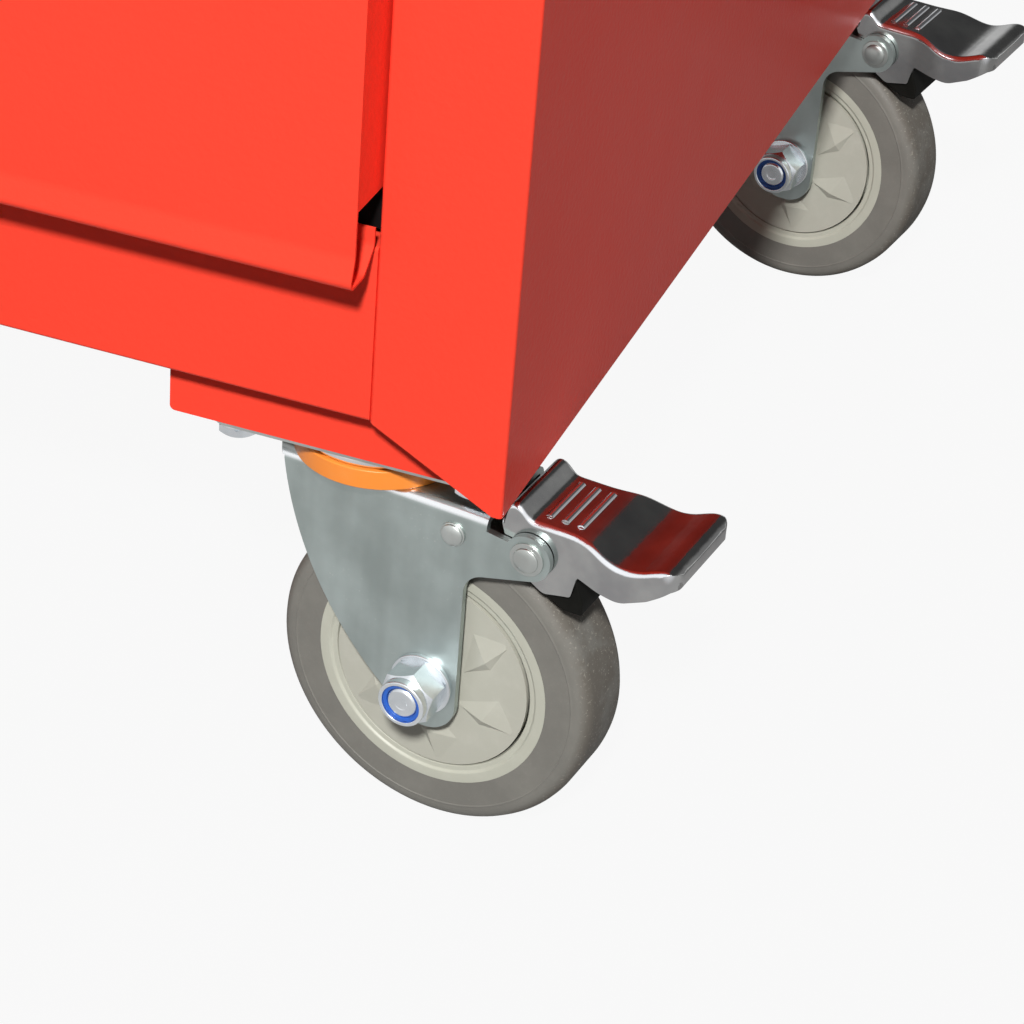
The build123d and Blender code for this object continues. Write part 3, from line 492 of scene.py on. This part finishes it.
# %% Turn a profile round the axle
def turned(profile, steps=96, closed=False):
    """Spin corners (radius, along, round) about the Y axis, in millimetres."""
    shape = bmesh.new()
    corners = [shape.verts.new((radius, along, 0.0)) for radius, along, _ in profile]
    for first, second in zip(corners, corners[1:]):
        shape.edges.new((first, second))
    if closed:
        shape.edges.new((corners[-1], corners[0]))
    for corner, (_, _, bend) in zip(corners, profile):
        if bend:
            bmesh.ops.bevel(shape, geom=[corner], offset=bend, offset_type="OFFSET", segments=5,
                            profile=0.5, affect="VERTICES", clamp_overlap=True, material=-1)
    bmesh.ops.spin(shape, geom=shape.verts[:] + shape.edges[:], cent=(0, 0, 0), axis=(0, 1, 0),
                   angle=math.tau, steps=steps, use_merge=True, use_duplicate=False)
    bmesh.ops.remove_doubles(shape, verts=shape.verts, dist=SAME_POINT)
    bmesh.ops.recalc_face_normals(shape, faces=shape.faces)
    return shape

def both_sides(half):
    """A profile that goes on as its own mirror image on the other side of the wheel."""
    return half + [(radius, -along, bend) for radius, along, bend in reversed(half)]

def hexagon(shape, across, turn=0.0):
    """Mill six flats on a turned shape, across millimetres apart."""
    for step in range(6):
        angle = math.radians(60.0 * step + turn)
        side = Vector((math.cos(angle), 0.0, math.sin(angle)))
        cut_off(shape, side * across / 2, side)
    return shape

def joined(*shapes):
    """One bmesh out of several, which are used up."""
    whole = bmesh.new()
    for shape in shapes:
        mesh = bpy.data.meshes.new("part")
        shape.to_mesh(mesh)
        shape.free()
        whole.from_mesh(mesh)
        bpy.data.meshes.remove(mesh)
    return whole

def moved(shape, matrix):
    """The same bmesh, turned or shifted."""
    bmesh.ops.transform(shape, matrix=matrix, verts=shape.verts)
    return shape

# %% [markdown]
# ## Where each caster stands
# The joints say where a wheel turns and along which line, so every caster piece is modelled about
# its own axle, X towards the trail, Y along the axle and Z up, and one matrix puts it in place.
# The swivel casters stand turned by a few degrees, as in the photograph.

# %% Frames of the four casters
UP = Vector((0.0, 0.0, 1.0))
SWIVEL = ("front_right", "rear_right")
RIGID = ("front_left", "rear_left")
CASTERS = {}
for caster in SWIVEL + RIGID:
    spin = joints[caster + "_wheel_spin"]
    along = Vector(spin["axis"]).normalized()
    along = along if along.y > 0 else -along
    place = Matrix((along.cross(UP), along, UP)).transposed().to_4x4()
    place.translation = Vector(spin["pos_m"])
    CASTERS[caster] = place
    print(caster, "axle at", [round(v, 4) for v in place.translation])

def axle_line(caster):
    return CASTERS[caster].col[1].to_3d()

# %% [markdown]
# ## Tyre
# The tyre is moulded onto the core. Its flank is flat up to a fine parting ridge where the two
# halves of the mould met, then the shoulder rounds over to the running face. The value run is
# worked out here, from each vertex's distance from the axle, for the rubber's finish to read.

# %% Tyre
HALF_WIDTH = 15.0
RIDGE = HALF_WIDTH + 0.22
RUN_FROM = 58.5
RUN_BORDER = 3.0

def tyre_shape():
    flank = [(45.7, -HALF_WIDTH, 0.0), (55.4, -HALF_WIDTH, 0.0), (55.8, -RIDGE, 0.0),
             (56.3, -HALF_WIDTH, 0.0), (62.5, -HALF_WIDTH, 5.6)]
    shape = turned(both_sides(flank), steps=160)
    run = shape.verts.layers.float.new("run")
    for vertex in shape.verts:
        share = (math.hypot(vertex.co.x, vertex.co.z) - RUN_FROM) / RUN_BORDER
        vertex[run] = min(max(share, 0.0), 1.0)
    return shape

for caster, place in CASTERS.items():
    make_piece(caster + "_tyre", tyre_shape(), TYRE, caster + "_wheel",
               caster + "_tread", place, crisp=24.0)
print("tyres", len(CASTERS))

# %% [markdown]
# ## Wheel core
# Inside the tyre sits a hard plastic core. In the photograph only its pale rim shows: a broad flat
# ring, then a small step down to a narrow ledge, then the dark gap round the thread guard. The web
# and the hub are hidden by the guards there, but the rigid casters on the left have no guards, so
# they are turned too.

# %% Wheel core
def core_shape():
    side = [(7.7, -12.4, 0.0), (15.0, -12.4, 0.5), (16.0, -4.5, 0.8), (37.6, -4.5, 0.8),
            (39.2, -14.2, 0.25), (41.1, -14.2, 0.25), (41.9, -HALF_WIDTH, 0.35),
            (45.75, -HALF_WIDTH, 0.0)]
    return turned(both_sides(side), steps=128, closed=True)

for caster, place in CASTERS.items():
    make_piece(caster + "_core", core_shape(), CORE_GREY, caster + "_wheel",
               caster + "_wheel_core", place, crisp=38.0)
print("cores", len(CASTERS))

# %% [markdown]
# ## Axle bolt and lock nut
# A lock nut is a hexagon with a round collar, and pressed into the collar is a ring of blue nylon
# that grips the thread. A nut is turned first, which gives the round chamfer on its corners, and
# the flats are milled after, so the model is made the same way: a spin, then six cuts.

# %% Axle bolt and lock nut
CHEEK = 21.5
AXLE_FLATS = 19.0
TURN_ROUND = Matrix.Rotation(math.pi, 4, "Z")

def axle_washer():
    return turned([(6.2, CHEEK, 0.0), (12.0, CHEEK, 0.25), (12.0, CHEEK + 2.2, 0.7),
                   (6.2, CHEEK + 2.2, 0.0)], closed=True)

def lock_nut():
    """Nut, collar and washer, modelled on the far side of the wheel and then turned round."""
    nut = turned([(6.0, 23.7, 0.0), (9.9, 23.7, 0.0), (10.97, 24.4, 0.0), (10.97, 33.0, 0.0),
                  (9.2, 34.4, 0.0), (6.0, 34.4, 0.0)], closed=True)
    collar = turned([(7.0, 33.8, 0.0), (9.1, 34.1, 0.0), (9.1, 37.9, 0.75), (7.5, 37.9, 0.3),
                     (7.5, 36.3, 0.0)])
    return moved(joined(axle_washer(), hexagon(nut, AXLE_FLATS, turn=11.0), collar), TURN_ROUND)

def bolt_head():
    head = turned([(0.0, 23.7, 0.0), (9.9, 23.7, 0.0), (10.97, 24.3, 0.0), (10.97, 28.9, 0.0),
                   (9.3, 30.1, 0.3), (0.0, 30.1, 0.0)])
    return joined(axle_washer(), hexagon(head, AXLE_FLATS, turn=20.0))

def axle_shape():
    shank = turned([(0.0, -37.1, 0.0), (2.2, -37.1, 0.3), (2.6, -37.35, 0.3), (5.0, -37.35, 0.35),
                    (6.0, -36.4, 0.2), (6.0, 23.8, 0.0), (0.0, 23.8, 0.0)], steps=64)
    sleeve = turned([(6.3, -18.8, 0.0), (7.6, -18.8, 0.0), (7.6, 18.8, 0.0), (6.3, 18.8, 0.0)],
                    steps=48, closed=True)
    return joined(lock_nut(), bolt_head(), shank, sleeve)

def nylon_shape():
    return turned([(6.05, -36.3, 0.0), (6.05, -37.0, 0.3), (7.45, -37.15, 0.4),
                   (7.5, -36.2, 0.0)], steps=64)

for caster, place in CASTERS.items():
    holder = caster + "_caster" if caster in SWIVEL else "cabinet"
    make_piece(caster + "_axle_bolt", axle_shape(), NUT_PLATE, holder,
               caster + "_axle", place, crisp=28.0)
    make_piece(caster + "_nylon_ring", nylon_shape(), NYLON_BLUE, holder, None, place)
print("axle bolts and nylon rings", len(CASTERS))

# %% [markdown]
# ## Brake rivets
# Each rivet has a domed head on a flat collar. The one that the pedal turns on is thicker than the
# one that holds the cheeks apart. Both go right through the fork, so one profile makes the shank
# and both heads.

# %% Brake rivets
RIVET_HEIGHT = 66.1
PIVOT_X = 36.5
CROSS_X = 7.9

def rivet_shape(head, collar, shank, x):
    """A rivet through both cheeks of the fork, x millimetres from the axle towards the trail."""
    half = [(0.0, CHEEK + 2.6, 0.0), (head * 0.62, CHEEK + 2.45, head * 0.3),
            (head, CHEEK + 1.5, 0.35), (head, CHEEK + 0.95, 0.1), (collar, CHEEK + 0.75, 0.25),
            (collar, CHEEK, 0.0), (shank, CHEEK, 0.0)]
    return moved(turned(both_sides(half), steps=64), Matrix.Translation((x, 0.0, RIVET_HEIGHT)))

for caster in SWIVEL:
    pair = joined(rivet_shape(4.8, 6.4, 3.9, PIVOT_X), rivet_shape(4.2, 4.7, 3.0, CROSS_X))
    make_piece(caster + "_rivets", pair, PLATE_ZINC, caster + "_caster",
               caster + "_brake_rivets", CASTERS[caster], crisp=35.0)
print("rivet pairs", len(SWIVEL))

# %% [markdown]
# ## Thread guards
# The pleated covers beside the hub keep thread and hair off the axle. Their flat facets must look
# flat, while the collar looks round. The merged copy of the CAD piece is used, with smooth shading
# only on the faces that stand up round the axle.

# %% Thread guards
def faceted(node, finish, axle):
    piece = stand_in(node, merged_copy(node, flat=0.5), finish)
    for face in piece.data.polygons:
        face.use_smooth = abs(face.normal.dot(axle)) < 0.5

for caster in SWIVEL:
    faceted(caster + "_thread_guards", GUARD_GREY, axle_line(caster))
print("pairs of guards", len(SWIVEL))

# %% [markdown]
# ## Caster bolts
# Four bolts hold each caster to its channel. They have a flange under a small hexagon, and only
# one of them peeps out below the front channel in the photograph. All sixteen are one mesh, as
# they are one CAD node.

# %% Caster bolts
BOLT_FLATS = 13.0
UNDER_PLATE = 151.0
HOLE_X = 44.0
HOLE_Y = 23.5
HANG_DOWN = Matrix.Rotation(math.radians(-90.0), 4, "X")

def plate_bolt():
    flange = turned([(4.0, 0.0, 0.0), (7.8, 0.0, 0.25), (7.8, 0.9, 0.5), (6.6, 1.5, 0.2),
                     (4.0, 1.6, 0.0)], steps=40, closed=True)
    head = turned([(0.0, 1.3, 0.0), (6.9, 1.3, 0.0), (7.5, 1.6, 0.0), (7.5, 4.0, 0.0),
                   (6.2, 4.8, 0.4), (0.0, 4.8, 0.0)], steps=40)
    shank = turned([(4.0, 0.5, 0.0), (4.0, -12.6, 0.5), (0.0, -12.6, 0.0)], steps=24)
    nut = turned([(4.1, -4.6, 0.0), (6.9, -4.6, 0.0), (7.5, -5.0, 0.0), (7.5, -10.7, 0.0),
                  (6.9, -11.1, 0.0), (4.1, -11.1, 0.0)], steps=40, closed=True)
    return joined(flange, hexagon(head, BOLT_FLATS, turn=17.0), shank, hexagon(nut, BOLT_FLATS))

def middle_of(node):
    """Middle of a node's box, in metres."""
    low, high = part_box(node)
    return (Vector(low) + Vector(high)) / 2

bolts = []
for caster in CASTERS:
    middle = middle_of(caster + ("_top_plate" if caster in SWIVEL else "_fork")) * 1000.0
    for x in (-HOLE_X, HOLE_X):
        for y in (-HOLE_Y, HOLE_Y):
            spot = Matrix.Translation((middle.x + x, middle.y + y, UNDER_PLATE))
            bolts.append(moved(plate_bolt(), spot @ HANG_DOWN))
bolt_piece = make_piece("caster_bolt_set", joined(*bolts), NUT_PLATE, "cabinet",
                        "caster_bolts", Matrix.Identity(4), crisp=28.0)
print("caster bolts", len(bolts), "faces", len(bolt_piece.data.polygons))

# %% [markdown]
# ## Fork and pedal
# The pressed steel fork is right in the CAD model, so it gets only softened edges, as the top
# plate, the brake shoe and the seal ring do. The pedal has its rounds already and gets smoother
# shading. The tight bends between top and flank are polished by the press tool and get a painted
# highlight: their vertices carry the value bend, worked out from the normals, and both finishes
# turn their colour near white there.

# %% Forks, plates and pedals
def mark_bends(piece, along):
    """Give each vertex the value bend for the painted highlight: 1 where its normal looks halfway
    between up and along.
    """
    bend = piece.data.attributes.new("bend", "FLOAT", "POINT")
    for vertex in piece.data.vertices:
        upward_share = max(vertex.normal.z, 0.0)
        share = 2.0 * abs(vertex.normal.dot(along)) * upward_share
        bend.data[vertex.index].value = min(share, 1.0)

for caster in CASTERS:
    fork = soften(caster + "_fork", FORK_ZINC, width=0.45, segments=3)
    mark_bends(fork, axle_line(caster))
for caster in SWIVEL:
    pedal = soften(caster + "_brake_pedal", PEDAL_PLATE, width=0.0)
    mark_bends(pedal, axle_line(caster))
    soften(caster + "_top_plate", PLATE_ZINC, width=0.4)
    # The shoe's near-black rubber is also painted shade for the pedal's shadow on the tyre.
    soften(caster + "_brake_shoe", BLACK_RUBBER_AND_SHADE, width=0.8, segments=3, trim=5.0)
    soften(caster + "_seal_ring", SEAL_ORANGE, width=0.4)
print("forks", len(CASTERS), "pedals", len(SWIVEL))

# %% [markdown]
# ## Bearing race
# Between the orange seal and the plate the photograph shows a thin bright arc: the pressed rim of
# the upper race. It bulges a little, so that some part of it always faces the light.

# %% Bearing race
STAND_UP = Matrix.Rotation(math.radians(90.0), 4, "X")
RACE_PLATE = bright_plate("race_plate", (0.86, 0.87, 0.88), (0.70, 0.71, 0.72), 0.12)

def race_rim():
    return turned([(27.0, 150.9, 0.0), (29.2, 150.9, 0.0), (30.0, 149.0, 0.9),
                   (29.2, 147.3, 0.5), (27.0, 147.3, 0.0)], steps=96, closed=True)

for caster in SWIVEL:
    plate = caster + "_top_plate"
    middle = middle_of(plate)
    king_pin = Matrix.Translation((middle.x, middle.y, 0.0))
    make_piece(caster + "_race_rim", race_rim(), RACE_PLATE, frame["nodes"][plate]["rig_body"],
               None, king_pin @ STAND_UP, crisp=40.0)
print("race rims", len(SWIVEL))

# %% [markdown]
# ## The nodes that stay
# Slides, trays, lock and handle are right as the CAD model has them. They keep their meshes and
# get a finish by the material slot that the record gives them. Only the handle's tube goes by its
# name, as it is brighter than the rest of its slot.

# %% Finishes for the CAD nodes that stay as they are
FINISH_OF_SLOT = {
    "red_paint": RED,
    "galvanised_steel": SLIDE_ZINC,
    "chrome": PEDAL_PLATE,
    "zinc": PLATE_ZINC,
    "black_plastic": BLACK_PLASTIC,
    "black_paint": BLACK_PAINT_AND_SHADE,
    "black_rubber": BLACK_RUBBER_AND_SHADE,
    "orange_plastic": SEAL_ORANGE,
    "grey_plastic": CORE_GREY,
    "grey_tread": TYRE,
}
slot_of_node = {row["node"]: row["material_slot"] for row in frame["record"]["subparts"]}
for name, node in frame["nodes"].items():
    finish = FINISH_OF_SLOT[slot_of_node[name]]
    if name.startswith("handle_tube"):
        finish = TUBE_PLATE
    node.data.materials.clear()
    node.data.materials.append(finish)
print("slots", sorted(set(slot_of_node.values())))

# %% [markdown]
# ## Floor
# The floor is plain and pale. Its own colour is a dull grey, which throws little light back up at
# the cabinet. To the camera it glows, so that it looks white, and it still takes the object's
# shadow. In metal and paint it glows too, more in front of the cabinet than beside and behind it,
# because the photograph's side panel mirrors a darker room.

# %% Floor
FLOOR_GREY = (0.15, 0.15, 0.15)
FLOOR_HALF = 14.0
SEEN_GLOW = 0.93
MIRRORED_GLOW = 0.17
FRONT_GLOW = 0.38

def pale_floor():
    pale = Finish("pale_floor", {"Base Color": FLOOR_GREY, "Roughness": 0.9})
    in_front = 1.0 - pale.coordinate(pale.place(), "Y").over(-0.30, 0.10)
    mirrored = in_front * FRONT_GLOW + MIRRORED_GLOW
    share = pale.camera_ray() * SEEN_GLOW + pale.mirror_ray() * mirrored
    plain = Value(pale, pale.shader.outputs[0])
    glow = pale.node("ShaderNodeEmission")
    mixed = pale.node("ShaderNodeMixShader", {}, {0: share, 1: plain, 2: glow})
    pale.feed(pale.tree.nodes["Material Output"].inputs["Surface"], mixed)
    return pale.material

shape = bmesh.new()
bmesh.ops.create_grid(shape, x_segments=1, y_segments=1, size=FLOOR_HALF)
floor_mesh = bpy.data.meshes.new("floor")
shape.to_mesh(floor_mesh)
shape.free()
floor_mesh.materials.append(pale_floor())
floor = bpy.data.objects.new("floor", floor_mesh)
bpy.context.scene.collection.objects.link(floor)
print("floor", [round(v, 1) for v in floor.dimensions])

# %% [markdown]
# ## Lamps
# Three soft lamps light the scene: one that stands above the camera and a little to its left,
# which draws the photograph's shadow under the drawer's lip, and two weak ones that round off the
# far sides. The weak ones aren't mirrored, or each would leave a bright patch on the top panel.

# %% Lamps
def soft_lamp(name, place, aim, size, power, mirrored):
    lamp = bpy.data.lights.new(name, "AREA")
    lamp.shape = "DISK"
    lamp.size = size
    lamp.energy = power
    holder = bpy.data.objects.new(name, lamp)
    holder.visible_glossy = mirrored
    look = (Vector(aim) - Vector(place)).to_track_quat("-Z", "Y")
    holder.matrix_world = Matrix.Translation(place) @ look.to_matrix().to_4x4()
    bpy.context.scene.collection.objects.link(holder)

corner = Vector((0.28, -0.25, 0.15))
front = corner + Vector((0.17, -0.71, 0.68)) * 4.0
soft_lamp("front_lamp", front, corner, size=0.4, power=208.0, mirrored=True)
soft_lamp("left_lamp", (-3.6, 0.7, 1.5), (-0.4, 0.0, 0.5), size=1.2, power=95.0, mirrored=False)
soft_lamp("back_lamp", (-0.9, 3.9, 1.5), (0.0, 0.3, 0.5), size=1.2, power=95.0, mirrored=False)
bpy.context.scene.view_settings.view_transform = "Standard"

# %% [markdown]
# ## Sky
# The sky is white to the camera and nearly dark as a light. Metal and paint mirror a studio in it:
# white in front of the cabinet, pale low down all round and a little paler on the right, and dark
# above and behind. That gives the plated pieces their light and dark bands.

# %% Sky
SKY_LIGHT = 0.04

world = bpy.data.worlds.new("sky")
world.use_nodes = True
bpy.context.scene.world = world
sky = Nodes(world.node_tree)
direction = sky.node("ShaderNodeTexCoord", output="Generated")
rightward, rearward, upward = (sky.coordinate(direction, axis) for axis in "XYZ")
in_front = 1.0 - rearward.over(-0.45, 0.0)
to_the_right = rightward.over(0.30, 0.48) * 0.3
low_down = 0.8 - upward.over(0.05, 0.35) * 0.8
white_wall = (in_front + to_the_right + low_down).within()
mirrored = white_wall * 0.88 + 0.04
strength = sky.camera_ray() * (1.0 - SKY_LIGHT) + sky.mirror_ray() * mirrored + SKY_LIGHT
background = sky.tree.nodes["Background"]
sky.feed(background.inputs["Color"], (1.0, 1.0, 1.0))
sky.feed(background.inputs["Strength"], strength)
print("sky nodes", len(sky.tree.nodes))
